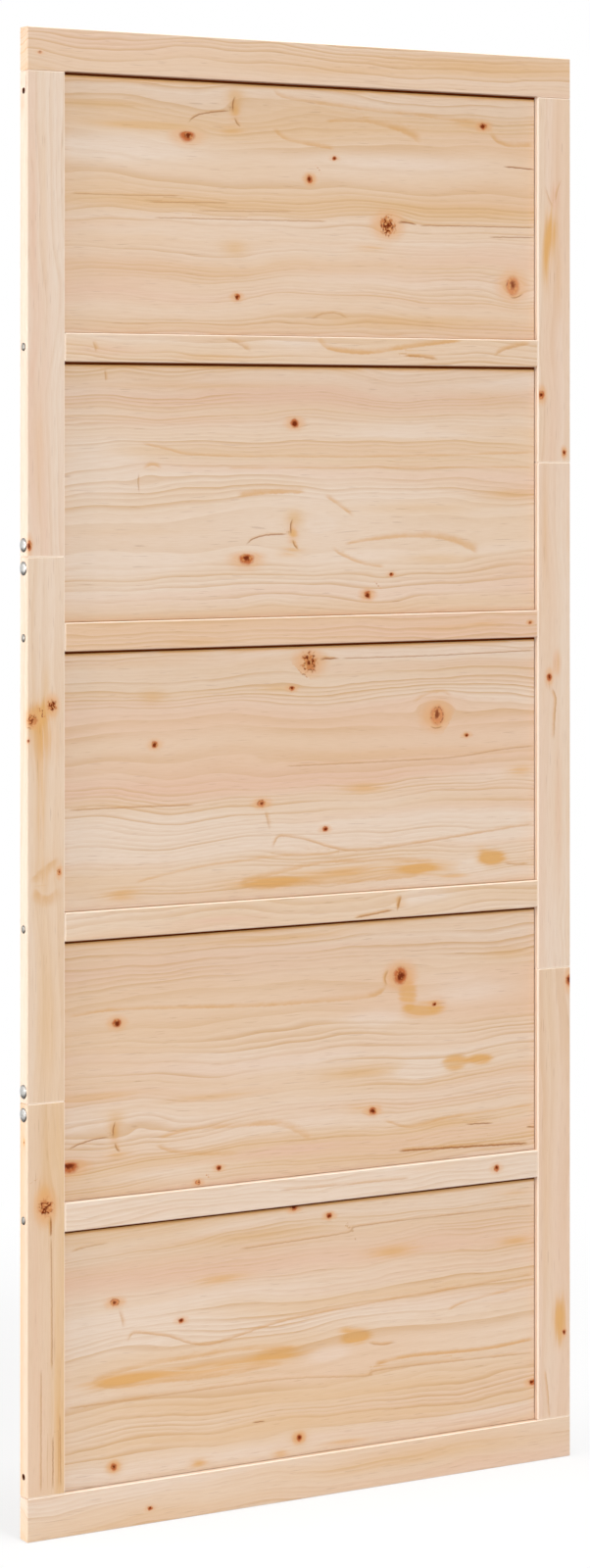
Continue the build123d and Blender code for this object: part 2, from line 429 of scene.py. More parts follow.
        Streak(((143, 452), (170, 458), (212, 465), (380, 466), (545, 462)), 1.4, 0.0, 0.35),
        Streak(((230, 478), (390, 477.5), (545, 477)), 1.2, 0.0, 0.3),
        Streak(((330, 505), (344, 514), (362, 528)), 2.0, 0.0, 0.45),
        Streak(((350, 556), (385, 550), (427, 547), (460, 551), (489, 564)), 3.0, 0.0, 0.45, 0.5),
        Streak(((337, 558), (350, 567), (370, 575), (394, 579)), 2.0, 0.0, 0.45),
        Streak(((107, 376), (107.5, 383), (108, 390)), 1.5, 0.2, 0.4), Stain(327, 535, 16, 8, amber=-0.7),
        hump(301, 536, 22, 2.4))),
    "panel_3": Figure((40, 40), 55.4, 0.3, 0.05, 1.15, marks=(
        under_rail(659.5), Knot(315.5, 676, 11.5, 1.5, 0.8, 0.9),
        Streak(((325, 673), (335, 672), (348, 672)), 1.6, 0.8, 0.6, -0.5),
        Streak(((347, 672), (440, 669), (546, 663.5)), 1.0, 0.45, 0.3), Knot(298, 702, 3.2, 0.5, 0.6),
        Stain(285, 702, 30, 5, amber=0.6), Knot(446, 730, 12.5, 0.25, 0.8, 0.85),
        Streak(((438, 741), (445, 743), (453, 741)), 1.2, 0.5, 0.4),
        Streak(((420, 718), (436, 708), (452, 706), (462, 712)), 2.0, 0.0, 0.45),
        Knot(475.7, 750, 2.8, 0.9, 0.6), Knot(158, 760, 4.4, 0.9, 0.6, 1.1),
        Knot(267, 820, 4.5, 0.3, 0.7, 1.4), Streak(((270, 826), (273, 837), (275, 848)), 2.2, 0.12, 0.45),
        Knot(331.8, 846, 3.2, 0.9, 0.6), Streak(((68, 827), (130, 824), (200, 821.5)), 1.2, 0.3, 0.4),
        Stain(150, 676, 170, 9, amber=0.4), Stain(155, 713, 20, 12, amber=0.6),
        Stain(420, 768, 190, 7, amber=0.5),
        Streak(((290, 782), (393, 777), (460, 773), (510, 765), (546, 761)), 1.3, 0.25, 0.3),
        Stain(270, 800, 380, 16, rose=0.6), Stain(372, 804, 40, 8, resin=0.6),
        Stain(530, 786, 26, 9, resin=0.6), Stain(160, 858, 190, 28, amber=-1.0, rose=-0.4),
        Stain(450, 838, 170, 18, amber=-0.6, rose=-0.2),
        Streak(((278, 868), (281, 858), (288, 853), (313, 857), (335, 864), (360, 868), (393, 865),
            (470, 853), (546, 840)), 1.6, 0.1, 0.42),
        Streak(((137, 901), (193, 887), (243, 879), (293, 873), (343, 872)), 1.5, 0.0, 0.35),
        Streak(((242, 902), (262, 896), (295, 888), (333, 880), (393, 878), (443, 879)), 2.4, 0.0, 0.4),
        Streak(((244, 904), (270, 906), (300, 902), (360, 900), (430, 893)), 2.6, 0.0, 0.4),
        Stain(428, 886, 42, 10, resin=1.2), Stain(278, 900, 62, 8, resin=1.2),
        Stain(355, 890, 70, 8, resin=0.75), Stain(462, 894, 30, 4, resin=0.6),
        Stain(482, 884, 22, 8, amber=-0.9, rose=-0.3), Stain(502, 875, 26, 11, resin=1.2, firm=2),
        Stain(491, 867, 11, 5, resin=0.6), Streak(((512, 880), (526, 882), (541, 881)), 1.6, 0.2, 0.5),
        Stain(125, 913, 26, 8, resin=0.7), hump(262, 776, 15, 2.0), hump(300, 868, 14, 1.8),
        hump(440, 722, 16, 2.0))),
    "panel_4": Figure((65, 55), 60.8, 0.42, 0.1, 1.2, marks=(
        under_rail(944.6), Knot(408.5, 995.5, 11, 0.5, 0.9, 0.9),
        Streak(((395, 1007), (393, 998), (397, 988)), 1.8, 0.2, 0.6),
        Stain(416, 1014, 16, 23, rose=0.6, resin=0.75, firm=3),
        Stain(432, 1030, 37, 11.5, amber=0.5, rose=0.3, resin=0.75, firm=3),
        Stain(446, 1026, 15, 13, rose=0.4, resin=0.25, firm=2), Knot(443, 1024.5, 2.8, 1.0, 0.5),
        Knot(119.3, 1044, 5.6, 0.9, 0.7, 1.1),
        Streak(((68, 1038), (127, 1030), (247, 1027), (310, 1023), (377, 1017),
            (396, 1006)), 2.2, 0.0, 0.5, 0.3), Stain(464, 1084, 22, 12, amber=0.6, resin=0.75, firm=3),
        Stain(489, 1081, 25, 8, resin=0.95, firm=3), Knot(380.6, 1133.5, 4.6, 1.0, 0.8),
        Stain(366, 1131, 24, 8, resin=0.5),
        Streak(((68, 1174), (80, 1168), (95, 1163), (113, 1160)), 1.3, 0.55, 0.35),
        Streak(((118, 1143), (115.5, 1152), (115.5, 1162)), 1.6, 0.6, 0.4),
        Streak(((117, 1165), (119, 1172), (123, 1176)), 1.6, 0.45, 0.6), Stain(118, 1178, 20, 6, resin=0.6),
        Stain(118, 1143, 14, 12, amber=0.8), Stain(117, 1157, 8, 14, rose=0.8, resin=0.8),
        Knot(71, 1190, 9.0, 0.5, 0.7, 1.3, 1.8), Knot(223.3, 1191.6, 3.2, 0.9, 0.6),
        Knot(202, 1206.5, 3.0, 0.3, 0.6), Streak(((405, 1174.5), (460, 1171), (540, 1166.5)), 1.9, 0.7, 0.8),
        Streak(((473, 1147.5), (490, 1146.5), (505, 1146)), 1.3, 0.65, 0.4),
        Streak(((536, 1150), (542, 1150), (548, 1150)), 1.2, 0.75, 0.4),
        Streak(((390, 1143), (413, 1150), (430, 1148), (460, 1140), (546, 1127)), 1.5, 0.0, 0.45),
        Stain(370, 1095, 70, 7, amber=0.8), Stain(95, 1120, 50, 4, amber=1.0, resin=0.2),
        Stain(210, 1120, 80, 4, amber=0.7), Stain(295, 1173, 75, 7, rose=0.8),
        Stain(450, 1146, 70, 7, amber=0.5), Stain(250, 985, 300, 22, rose=0.4),
        Stain(518, 972, 45, 7, amber=0.7), Stain(277, 958, 110, 5, amber=0.6),
        Stain(250, 1083, 200, 18, amber=-0.35), Stain(430, 1090, 42, 14, amber=-0.9, rose=-0.3),
        Stain(385, 1038, 45, 12, amber=-0.7), Stain(170, 1197, 120, 12, amber=-0.55, rose=-0.2),
        Stain(478, 1010, 85, 22, amber=-0.8, rose=-0.3),
        Streak(((160, 1162), (195, 1153), (243, 1149), (287, 1148), (318, 1163)), 2.8, 0.0, 0.45, 0.4),
        Streak(((157, 1168), (175, 1175), (205, 1178), (245, 1177)), 2.0, 0.0, 0.4),
        hump(118, 1154, 22, 2.4))),
    "panel_5": Figure((-50, 45), 66.3, 0.36, 0.0, 1.15, marks=(
        under_rail(1229.8), Knot(300, 1232, 4.2, 0.6, 0.9), Knot(336, 1240.6, 3.4, 0.9, 0.9),
        Knot(117, 1329, 4.5, 0.3, 0.7, 1.4), Streak(((121, 1335), (124, 1345), (126, 1356)), 2.2, 0.12, 0.45),
        Knot(184.8, 1347.4, 3.2, 0.9, 0.6), Stain(220, 1295, 330, 28, rose=0.5),
        Stain(480, 1258, 170, 22, rose=0.5, amber=0.2), Stain(240, 1262, 170, 8, amber=0.6),
        Stain(225, 1305, 45, 7, resin=0.6), Stain(400, 1277, 42, 9, resin=0.65),
        Stain(526, 1266, 32, 8, resin=0.65), Stain(524, 1218, 36, 6, resin=0.4),
        Streak(((243, 1275), (353, 1258), (373, 1250), (546, 1230)), 1.3, 0.25, 0.3),
        Streak(((70, 1278), (90, 1272), (113, 1268)), 1.4, 0.2, 0.4),
        Stain(140, 1358, 190, 22, amber=-0.8, rose=-0.3), Stain(420, 1336, 200, 18, amber=-0.45),
        Streak(((130, 1371), (133, 1363), (140, 1360), (173, 1364), (196, 1371), (222, 1370), (293, 1347),
            (393, 1327), (546, 1300)), 1.6, 0.1, 0.42),
        Streak(((92, 1411), (110, 1404), (150, 1393), (190, 1386), (245, 1377), (303, 1376)), 2.4, 0.0, 0.4),
        Streak(((94, 1413), (120, 1416), (155, 1411), (220, 1404), (290, 1391)), 2.6, 0.0, 0.4),
        Stain(128, 1408, 60, 9, resin=1.2), Stain(215, 1395, 90, 9, resin=0.75),
        Stain(284, 1382, 42, 10, resin=1.1), Stain(363, 1364, 26, 11, resin=1.2, firm=2),
        Stain(352, 1357, 11, 5, resin=0.6), Stain(335, 1382, 30, 9, amber=-0.8),
        Streak(((374, 1370), (388, 1372), (404, 1369.5)), 1.6, 0.2, 0.5),
        Streak(((380, 1393), (420, 1384), (493, 1377), (546, 1366)), 2.0, 0.0, 0.6),
        Streak(((66, 1438), (193, 1420), (293, 1407), (373, 1404), (393, 1397),
            (546, 1380)), 1.5, 0.15, 0.35), Streak(((455, 1338), (477, 1328), (546, 1310)), 1.6, 0.0, 0.45),
        Stain(300, 1430, 420, 28, amber=0.25),
        Streak(((256, 1452), (264, 1451), (272, 1450)), 1.2, 0.65, 0.4), Knot(542.5, 1410.3, 3.8, 0.9, 0.6),
        Knot(305.3, 1467, 4.6, 0.65, 1.0, 0.9), Stain(305, 1468, 13, 11, amber=0.9),
        Knot(116, 1496.7, 4.6, 0.65, 1.0, 0.9), Stain(116, 1498, 13, 11, amber=0.9),
        Stain(286, 1483, 14, 7, resin=0.6), Stain(203, 1493, 14, 6, resin=0.8),
        Stain(352, 1471, 36, 4, resin=0.5), Stain(90, 1510, 70, 12, amber=-0.5),
        Stain(500, 1440, 70, 8, amber=-0.5), hump(165, 1371, 14, 1.8))),
}


def spaced(low, high, step):
    """Evenly spaced values from low to high, no further apart than the step."""
    return np.linspace(low, high, max(2, math.ceil((high - low) / step) + 1))


def smooth_step(values, start, end):
    """0 before start and 1 after end, with the cubic 3t^2 - 2t^3 in between; start may lie after end."""
    share = np.clip((values - start) / (end - start), 0, 1)
    return share * share * (3 - 2 * share)


def grid_quads(shape, ring=False):
    """Faces between the neighbours in a grid of points; the columns may close into a ring."""
    here = np.arange(math.prod(shape)).reshape(shape)
    beside = np.roll(here, -1, axis=1)
    quads = np.stack((here[:-1], beside[:-1], beside[1:], here[1:]), axis=-1)
    return (quads if ring else quads[:, :-1]).reshape(-1, 4)


def ringed(lines, centres):
    """Grid lines with those near each hole swapped for the hole's own rings, on both sides of its centre."""
    centres = np.asarray(centres, float)
    if not centres.size:
        return lines
    clear = np.abs(lines[:, None] - centres).min(axis=1) > HOLE_CLEAR
    rings = np.concatenate((-HOLE_RINGS[:0:-1], HOLE_RINGS))
    return np.sort(np.concatenate((lines[clear], (centres[:, None] + rings).ravel())))


def board_outline(half_width, half_depth, sizes, grooved, drilled):
    """Section of a frame board, once round from its front face.

    Each row is a point of an inner core (across, depth), the unit direction in which the surface
    stands off it by the arris radius, and how far the point is sunk in a groove.
    """
    width, depth = half_width - sizes.arris, half_depth - sizes.arris
    half_groove = sizes.groove_width / 2
    quarter = np.linspace(0, math.pi / 2, ARRIS_STEPS + 1)[1:-1]

    def run(*columns):
        """Rows from arrays of one length and single values, which are repeated."""
        return np.column_stack(np.broadcast_arrays(*map(np.atleast_1d, columns)))

    def corner(side_across, side_depth, start):
        """A quarter circle round one core point: directions cos(turn), sin(turn) on from the start."""
        turn = start + quarter
        return run(side_across * width, side_depth * depth, np.cos(turn), np.sin(turn), 0)

    def edge(side):
        """A long edge from front to back, with its groove or the grid lines of its holes."""
        if side in grooved:
            front = spaced(-depth, -half_groove, sizes.grid)
            back = -front[::-1]
            wall = (-half_groove, -half_groove, half_groove, half_groove)
            sunk = (SHADE_LIP, sizes.groove_depth, sizes.groove_depth, SHADE_LIP)
            return np.vstack((run(side * width, front, side, 0, 0), run(side * width, wall, side, 0, sunk),
                              run(side * width, back, side, 0, 0)))
        lines = spaced(-depth, depth, sizes.grid)
        return run(side * width, ringed(lines, (0.0,)) if side == drilled else lines, side, 0, 0)

    face = spaced(-width, width, sizes.grid)
    return np.vstack((
        run(face, -depth, 0, -1, 0), corner(1, -1, -math.pi / 2), edge(1), corner(1, 1, 0),
        run(face[::-1], depth, 0, 1, 0), corner(-1, 1, math.pi / 2), edge(-1)[::-1],
        corner(-1, -1, math.pi)))


def carried_board(low, high, run_axis, sizes, grooved=(), groove_ends=None, drilled=0, holes=()):
    """A board's section carried along its length, with rounded arrises, grooves and drilled holes.

    A point is core + (arris * cos(turn) - sunk) * outward; the station along the board is arris * sin(turn)
    beyond the core's end, so that the ends are rounded like the long edges. Round a hole the grid's square
    rings become circles: the outer one at the surface, the next at its lip, the rest on its floor.
    """
    cross_axis = X if run_axis == Z else Z
    half_width = (high[cross_axis] - low[cross_axis]) / 2
    half_depth = (high[Y] - low[Y]) / 2
    rows = board_outline(half_width, half_depth, sizes, grooved, drilled)

    turn = np.linspace(math.pi / 2, 0, ARRIS_STEPS + 1)
    inner_low, inner_high = low[run_axis] + sizes.arris, high[run_axis] - sizes.arris
    middle = ringed(spaced(inner_low, inner_high, sizes.grid), [hole[0] for hole in holes])[1:-1]
    if groove_ends:
        middle = np.sort(np.concatenate((middle, groove_ends, groove_ends)))
    stations = np.concatenate((inner_low - sizes.arris * np.sin(turn), middle,
                               inner_high + sizes.arris * np.sin(turn[::-1])))
    swell = np.concatenate((np.cos(turn), np.ones(middle.size), np.cos(turn[::-1])))

    opened = np.ones(stations.size)
    if groove_ends:
        first, last = np.searchsorted(stations, groove_ends)
        opened[: first + 1] = 0
        opened[last + 1:] = 0

    core_across, core_depth, out_across, out_depth, sunk = rows.T
    stand_off = sizes.arris * swell[:, None]
    across = core_across + (stand_off - opened[:, None] * sunk) * out_across
    depth = core_depth + stand_off * out_depth
    along = np.repeat(stations[:, None], len(rows), axis=1)

    on_edge = (out_across == drilled) & (sunk == 0) if drilled else np.zeros(len(rows), bool)
    floor_ring, lip_ring, outer_ring = HOLE_RINGS[2:]
    for centre, radius, hole_depth in holes:
        side, up = depth, along - centre
        ring = np.maximum(np.abs(side), np.abs(up))
        inside = on_edge & (ring < outer_ring + HOLE_SLACK)
        angle = np.arctan2(side, up)
        reach = radius * np.minimum(1, ring / floor_ring)
        sink = np.select((ring > outer_ring - HOLE_SLACK, ring > lip_ring - HOLE_SLACK), (0, SHADE_LIP),
                         hole_depth)
        across = np.where(inside, across - drilled * sink, across)
        depth, along = (np.where(inside, reach * np.sin(angle), depth),
                        np.where(inside, centre + reach * np.cos(angle), along))

    points = np.empty(across.shape + (3,))
    points[..., cross_axis] = across + (low[cross_axis] + high[cross_axis]) / 2
    points[..., Y] = depth + (low[Y] + high[Y]) / 2
    points[..., run_axis] = along

    quads = grid_quads(across.shape, ring=True)
    near, far = np.arange(len(rows))[::-1], np.arange(across.size - len(rows), across.size)
    if run_axis == X:
        quads, near, far = quads[:, ::-1], near[::-1], far[::-1]
    return points.reshape(-1, 3), quads.tolist() + [near.tolist(), far.tolist()]


def lifted_lines(tongue_low, field_low, field_high, tongue_high, lip, radius, step):
    """Grid lines across a panel, and how far the surface is lifted on each from tongue to field.

    The lift is 0 on the tongue, rises upright to the field's edge, and follows a quarter circle of
    the given radius, 1 - radius / lip * (1 - sin(turn)), up to 1 on the field.
    """
    turn = np.linspace(0, math.pi / 2, ARRIS_STEPS)
    rise = 1 - radius / lip * (1 - np.sin(turn))
    inset = radius * (1 - np.cos(turn))
    field = spaced(field_low + radius, field_high - radius, step)[1:-1]
    lines = np.concatenate(((tongue_low, field_low), field_low + inset, field,
                            (field_high - inset)[::-1], (field_high, tongue_high)))
    lifts = np.concatenate(((0, 0), rise, np.ones(field.size), rise[::-1], (0, 0)))
    return lines, lifts


def lifted_panel(low, high, field_low, field_high, sizes):
    """A panel as two height fields back to back, closed round the tongue's rim.

    The half thickness is the tongue's, plus the lip's height times the lesser of the two lifts.
    """
    middle = (low.y + high.y) / 2
    tongue_half = sizes.tongue_thickness / 2
    lip = (high.y - low.y) / 2 - tongue_half
    columns, column_lift = lifted_lines(low.x, field_low.x, field_high.x, high.x,
                                        lip, sizes.field_edge, sizes.panel_grid)
    rows, row_lift = lifted_lines(low.z, field_low.z, field_high.z, high.z,
                                  lip, sizes.field_edge, sizes.panel_grid)
    half = tongue_half + lip * np.minimum(column_lift[None, :], row_lift[:, None])
    across, up = np.meshgrid(columns, rows)
    front = np.stack((across, middle - half, up), axis=-1)
    back = np.stack((across, middle + half, up), axis=-1)
    points = np.concatenate((front.reshape(-1, 3), back.reshape(-1, 3)))

    here = np.arange(half.size).reshape(half.shape)
    quads = grid_quads(half.shape)
    rim = np.concatenate((here[0, :-1], here[:-1, -1], here[-1, :0:-1], here[:0:-1, 0]))
    ahead = np.roll(rim, -1)
    wall = np.stack((rim, rim + half.size, ahead + half.size, ahead), axis=-1)
    return points, np.concatenate((quads, quads[:, ::-1] + half.size, wall)).tolist()


def turned_fitting(box, outward, edge, rim, shank_radius):
    """A domed head with its shank: a profile of (radius, height) pairs turned once about its axis.

    The dome is a quarter ellipse: radius = R * cos(rise) and height = rim + sag * sin(rise).
    """
    low, high = box
    head_radius = (high.z - low.z) / 2
    proud = outward * ((high.x if outward > 0 else low.x) - edge)
    shank_length = outward * (edge - (low.x if outward > 0 else high.x))
    rise = np.linspace(0, math.pi / 2, DOME_STEPS + 1)
    dome_radius = head_radius * np.cos(rise)
    dome = rim + (proud - rim) * np.sin(rise)
    bevel = BEVEL_SHARE * rim
    radius = np.concatenate(((0, shank_radius - bevel, shank_radius, shank_radius,
                              head_radius - bevel, head_radius), dome_radius))
    height = np.concatenate(((-shank_length, -shank_length, -shank_length + bevel, 0, 0, bevel), dome))
    turn = np.linspace(0, 2 * math.pi, TURN_STEPS, endpoint=False)
    middle = (Vector(low) + Vector(high)) / 2
    points = np.empty((radius.size, turn.size, 3))
    points[..., X] = edge + outward * height[:, None]
    points[..., Y] = middle.y + radius[:, None] * np.cos(turn)
    points[..., Z] = middle.z + outward * radius[:, None] * np.sin(turn)
    return points.reshape(-1, 3), grid_quads(points.shape[:2], ring=True).tolist()


def new_piece(name, points, faces, material):
    """A mesh object from points and faces, doubles merged, flat on its planes and smooth on its curves."""
    mesh = bpy.data.meshes.new(name)
    mesh.from_pydata(points.tolist(), [], faces)
    work = bmesh.new()
    work.from_mesh(mesh)
    bmesh.ops.remove_doubles(work, verts=work.verts, dist=MERGE_DISTANCE)
    bmesh.ops.dissolve_degenerate(work, edges=work.edges, dist=MERGE_DISTANCE)
    work.to_mesh(mesh)
    work.free()
    normals = np.empty(len(mesh.polygons) * 3)
    mesh.polygons.foreach_get("normal", normals)
    curved = np.abs(normals.reshape(-1, 3)).max(axis=1) < FLAT_NORMAL
    mesh.polygons.foreach_set("use_smooth", curved)
    mesh.materials.append(material)
    mesh.update()
    piece = bpy.data.objects.new(name, mesh)
    bpy.context.scene.collection.objects.link(piece)
    return piece


def put_on(node, piece):
    """Lets a piece stand for a CAD node: hides the node and attaches the piece to the root body."""
    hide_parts(node)
    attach(piece, "root")


def places(mesh):
    """All points of a mesh as rows."""
    flat = np.empty(len(mesh.vertices) * 3)
    mesh.vertices.foreach_get("co", flat)
    return flat.reshape(-1, 3)


def lay_recess_shade(piece, axes, tight=-math.inf, arris=0.0):
    """Marks with painted shade the points above a tight joint that lie inside the piece's box by the lip on
    these axes.

    The painted shade also reaches the lower arris of a rail over a gap.
    """
    points = places(piece.data)
    inside = np.minimum(points - points.min(axis=0), points.max(axis=0) - points)[:, axes].min(axis=1)
    dust = ((inside > 0.9 * SHADE_LIP) & (points[:, Z] > tight)).astype(float)
    if arris:
        above_bottom = points[:, Z] - points[:, Z].min()
        beside_panel = np.abs(points[:, X]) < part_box("right_stile_upper")[0].x
        dust = np.maximum(dust, ARRIS_SHADE * beside_panel * smooth_step(above_bottom, arris, 0.3 * arris))
    store(piece.data, "dust", dust)


def lay_arris_highlight(piece, run_axis, arris):
    """Painted highlight on the rounded arrises, 0 on the planes and 1 half way round, save outer and rails'
    lower ones.

    Within the arris each offset is arris * (1 - part of the outward direction), so the second
    least offset falls from the arris radius on a plane to 0.3 of it half way round.
    """
    points = places(piece.data)
    offsets = np.sort(np.minimum(points - points.min(axis=0), points.max(axis=0) - points), axis=1)
    above_bottom = points[:, Z] - points[:, Z].min()
    inside_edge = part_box("top_rail")[1].x - np.abs(points[:, X])
    worn = smooth_step(offsets[:, 1], arris, 0.5 * arris)
    for spared in (inside_edge,) if run_axis == Z else (inside_edge, above_bottom):
        worn = worn * smooth_step(spared, 0.5 * arris, arris)
    store(piece.data, "worn", worn)


def lay_head_shade(piece):
    """Marks painted shade on the rim of a fitting's head and on its lower part."""
    points = places(piece.data)
    middle = (points.min(axis=0) + points.max(axis=0)) / 2
    off = (points - middle) / (points[:, Z].max() - middle[Z])
    rim = smooth_step(np.hypot(off[:, Y], off[:, Z]), 0.62, 0.95)
    below = smooth_step(off[:, Z], -0.2, -0.75)
    rim *= 0.45 + 0.55 * smooth_step(off[:, Z], 0.2, -0.5)
    store(piece.data, "grime", np.maximum(rim, 0.9 * below))


def store(mesh, name, *columns):
    """Writes one value per point as a number attribute, or three as a vector attribute."""
    kind, field = ("FLOAT", "value") if len(columns) == 1 else ("FLOAT_VECTOR", "vector")
    layer = mesh.attributes.new(name, kind, "POINT")
    layer.data.foreach_set(field, np.column_stack(columns).astype(np.float32).ravel())


def smooth_route(corners):
    """A curve through the corners, with a Catmull-Rom cubic in each stretch."""
    ends = np.vstack((2 * corners[0] - corners[1], corners, 2 * corners[-1] - corners[-2]))
    before, start, end, after = (ends[i:len(ends) - 3 + i, None] for i in range(4))
    t = np.linspace(0, 1, ROUTE_STEPS, endpoint=False)[:, None]
    curve = start + t / 2 * (end - before + t * (2 * before - 5 * start + 4 * end - after
                                                 + t * (3 * (start - end) + after - before)))
    return np.vstack((curve.reshape(-1, 2), corners[-1]))


def beside_route(route, along, around):
    """How far each point lies to the left of a route, away from it, and along it, and the route's length."""
    chords = np.diff(route, axis=0)
    lengths = np.hypot(*chords.T)
    off_along, off_around = along[:, None] - route[:-1, 0], around[:, None] - route[:-1, 1]
    ahead = (off_along * chords[:, 0] + off_around * chords[:, 1]) / lengths
    beside = (off_around * chords[:, 0] - off_along * chords[:, 1]) / lengths
    away = np.hypot(beside, ahead - np.clip(ahead, 0, lengths))
    piece = away.argmin(axis=1)
    pick = np.arange(len(along)), piece
    passed = np.concatenate(((0,), np.cumsum(lengths)))
    return beside[pick], away[pick], passed[piece] + ahead[pick], passed[-1]


def nearest(distances):
    """Index of the nearest mark at each point, and how far the next one is beyond it."""
    if distances.shape[1] == 1:
        return np.zeros(len(distances), int), np.full(len(distances), np.inf)
    order = np.sort(distances, axis=1)
    return distances.argmin(axis=1), order[:, 1] - order[:, 0]


def of_kind(figure, kind):
    """The marks of one kind on a board."""
    return [mark for mark in figure.marks if isinstance(mark, kind)]


def lay_tint(mesh, figure, along, around, place):
    """Lays amber, rose and resin: the board's own tone plus each stain's exp(-spread^firm)."""
    tint = np.repeat([[figure.amber], [figure.rose], [0.0]], len(along), axis=1)
    # The resin part also carries the painted shade that under_rail lays along the top of each panel
    for stain in of_kind(figure, Stain):
        spot_along, spot_around = place(stain.column, stain.row)
        spread = (((along - spot_along) / (stain.half_length * MM)) ** 2
                  + ((around - spot_around) / (stain.half_height * MM)) ** 2)
        tint += np.outer((stain.amber, stain.rose, stain.resin), np.exp(-spread**stain.firm))
    store(mesh, "tint", *tint)


def lay_knots(mesh, figure, along, around, place):
    """Lays the nearest knot's place in radii, reach and look, and gives how far the grain is pushed aside.

    The grain parts round a knot like a stream round a post, by offset * R^2 / (distance^2 + 0.35 R^2),
    and more gently over a hidden one.
    """
    knots = sorted(of_kind(figure, Knot), key=lambda knot: knot.dark < 0)
    if not knots:
        return 0.0
    spots = np.array([place(knot.column, knot.row) for knot in knots])
    radii = np.array([knot.radius for knot in knots]) * MM
    off_along = (along[:, None] - spots[:, 0]) / [knot.stretch for knot in knots]
    off_across = around[:, None] - spots[:, 1]
    spread = ((off_along / GRAIN_REACH) ** 2 + off_across**2) / radii**2
    hidden = np.array([knot.dark < 0 for knot in knots])
    shift = (off_across / (spread + np.where(hidden, 1.1, 0.35))).sum(axis=1)
    shown = np.count_nonzero(~hidden)
    if shown:
        off_across = off_across * np.where(off_across > 0, [knot.flat for knot in knots], 1)
        which, clear = nearest(np.hypot(off_along, off_across)[:, :shown])
        pick = np.arange(len(along)), which
        radius = radii[which]
        off_along, off_across = off_along[pick] / radius, off_across[pick] / radius
        far = np.hypot(off_along, off_across)
        apart = np.maximum(smooth_step(clear, 3 * MM, 6 * MM), smooth_step(far, 1.3, 0.9))
        store(mesh, "knot", off_along, off_across, apart * smooth_step(far, 6, 4))
        looks = np.array([(knot.dark, knot.halo) for knot in knots])
        store(mesh, "knot_look", radius, *looks[which].T)
    return shift


def lay_lines(mesh, figure, along, around, place):
    """Lays the place in half widths beside the nearest thin line, the way in from its end and its colours."""
    beside, away, spare = np.full((3, len(along)), LINE_REACH)
    ends, dark, warm = np.zeros((3, len(along)))
    for line in of_kind(figure, Streak):
        route = smooth_route(np.array([place(*spot) for spot in line.route]))
        (low_along, low_around), (high_along, high_around) = route.min(axis=0), route.max(axis=0)
        near = np.flatnonzero((along > low_along - LINE_REACH) & (along < high_along + LINE_REACH)
                              & (around > low_around - LINE_REACH) & (around < high_around + LINE_REACH))
        side, off, walked, total = beside_route(route, along[near], around[near])
        spare[near] = np.minimum(spare[near], np.maximum(off, away[near]))
        closer = off < away[near]
        won, walked = near[closer], walked[closer]
        away[won] = off[closer]
        half_width = line.width * MM * (1 + line.taper * np.clip(2 * walked / total - 1, -1, 1))
        beside[won] = side[closer] / half_width
        ends[won] = np.minimum(walked, total - walked) / min(LINE_END, 0.35 * total)
        dark[won], warm[won] = line.dark, line.warm
    apart = np.maximum(smooth_step(spare - away, 4 * MM, 6 * MM), smooth_step(away, 5 * MM, 2.5 * MM))
    apart *= smooth_step(away, LINE_REACH, 0.75 * LINE_REACH)
    store(mesh, "streak", beside, ends, dark * apart)
    store(mesh, "streak_warm", warm * apart)


def lay_figure(piece, figure, run_axis, front):
    """Lays a board's figure on its points as attributes that the pine reads.

    grain is the place along the log, across from the heart and behind the heart, in metres; lines is the
    strength of the growth rings. A mark beyond the left side of a stile's face lies on its left edge,
    which is unrolled beside the face.
    """
    mesh = piece.data
    points = places(mesh)
    cross_axis = X if run_axis == Z else Z
    centre = (points.min(axis=0) + points.max(axis=0)) / 2
    along, across = points[:, run_axis], points[:, cross_axis]
    left = points[:, X].min()
    around = across
    if run_axis == Z:
        around = across - np.where(across < left + LEFT_EDGE, points[:, Y] - front, 0)

    def place(column, row):
        """Where a pixel falls along the board and across it, unrolled."""
        spot = on_front(column, row, front)
        if run_axis == Z and spot.x < left:
            line = sight_line(column, row)
            spot = EYE + line * ((left - EYE.x) / line.x)
            return spot.z, left - (spot.y - front)
        return spot[run_axis], spot[cross_axis]

    heart_across, heart_behind = figure.heart
    lay_tint(mesh, figure, along, around, place)
    store(mesh, "lines", np.full(len(points), figure.lines))
    shift = lay_knots(mesh, figure, along, around, place)
    store(mesh, "grain", along + figure.log, across - shift - centre[cross_axis] - heart_across * MM,
          points[:, Y] - centre[Y] - heart_behind * MM)
    lay_lines(mesh, figure, along, around, place)


